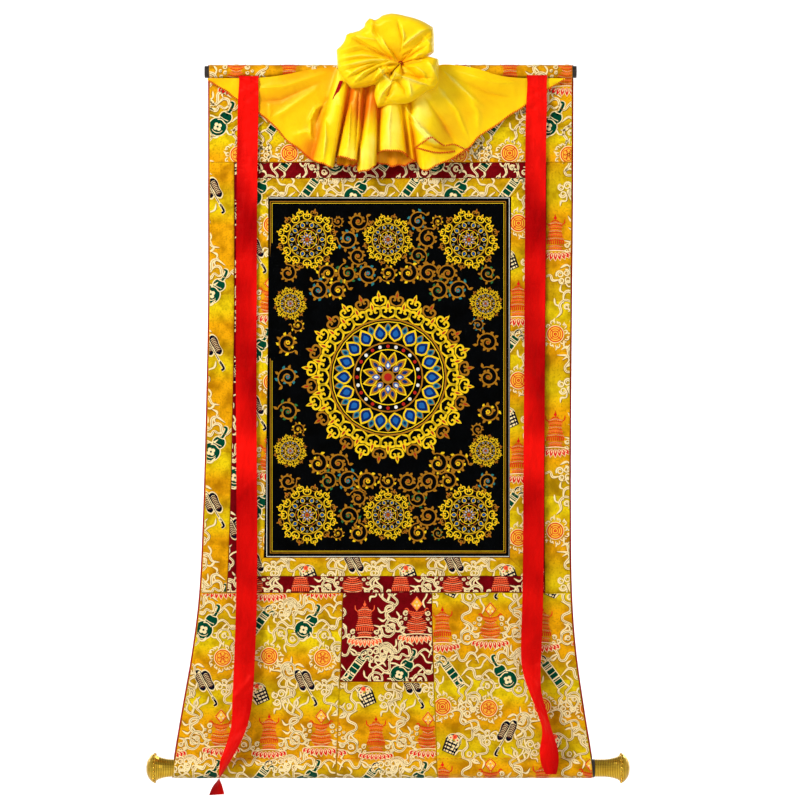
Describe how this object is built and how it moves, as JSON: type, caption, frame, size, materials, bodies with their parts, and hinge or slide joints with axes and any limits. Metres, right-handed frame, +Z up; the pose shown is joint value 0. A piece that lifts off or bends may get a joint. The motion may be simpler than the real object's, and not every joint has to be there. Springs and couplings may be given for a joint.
{
  "type": "thangka hanging scroll with top rod and roller",
  "caption": "Hanging scroll with a painted panel framed in brocade, a gathered silk veil, ribbons, a top rod and a weighted roller with knobs.",
  "frame": {"origin": "middle of the top rod, on its axis", "axes": "+X to the viewer's right, +Z up, the front faces -Y and the wall is on the +Y side"},
  "size_m": [0.604, 0.0718, 0.9715],
  "materials": {
    "brocade_yellow": "yellow silk brocade",
    "brocade_red": "dark red silk brocade",
    "satin_red": "red satin",
    "lining_red": "plain red cotton",
    "silk_yellow": "yellow silk, glossy",
    "painted_canvas": "sized canvas, painted matt",
    "rod_dark": "dark stained stick",
    "knob_brass": "spun brass, polished"
  },
  "bodies": {
    "root": {"top_rod": "rod_dark", "roller": "rod_dark", "knob_left": "knob_brass", "knob_right": "knob_brass", "lining": "lining_red", "heading_panel": "brocade_yellow", "side_panel_left": "brocade_yellow", "side_panel_right": "brocade_yellow", "red_strip_top": "brocade_red", "red_strip_bottom": "brocade_red", "red_strip_left": "brocade_red", "red_strip_right": "brocade_red", "border_top": "brocade_yellow", "border_bottom": "brocade_yellow", "border_left": "brocade_yellow", "border_right": "brocade_yellow", "picture_cloth": "painted_canvas", "skirt_panel_left": "brocade_yellow", "skirt_panel_right": "brocade_yellow", "door_panel": "brocade_red", "skirt_panel_middle": "brocade_yellow", "ribbon_left": "satin_red", "ribbon_right": "satin_red", "gather_tape": "lining_red", "veil": "silk_yellow"}
  },
  "joints": []
}
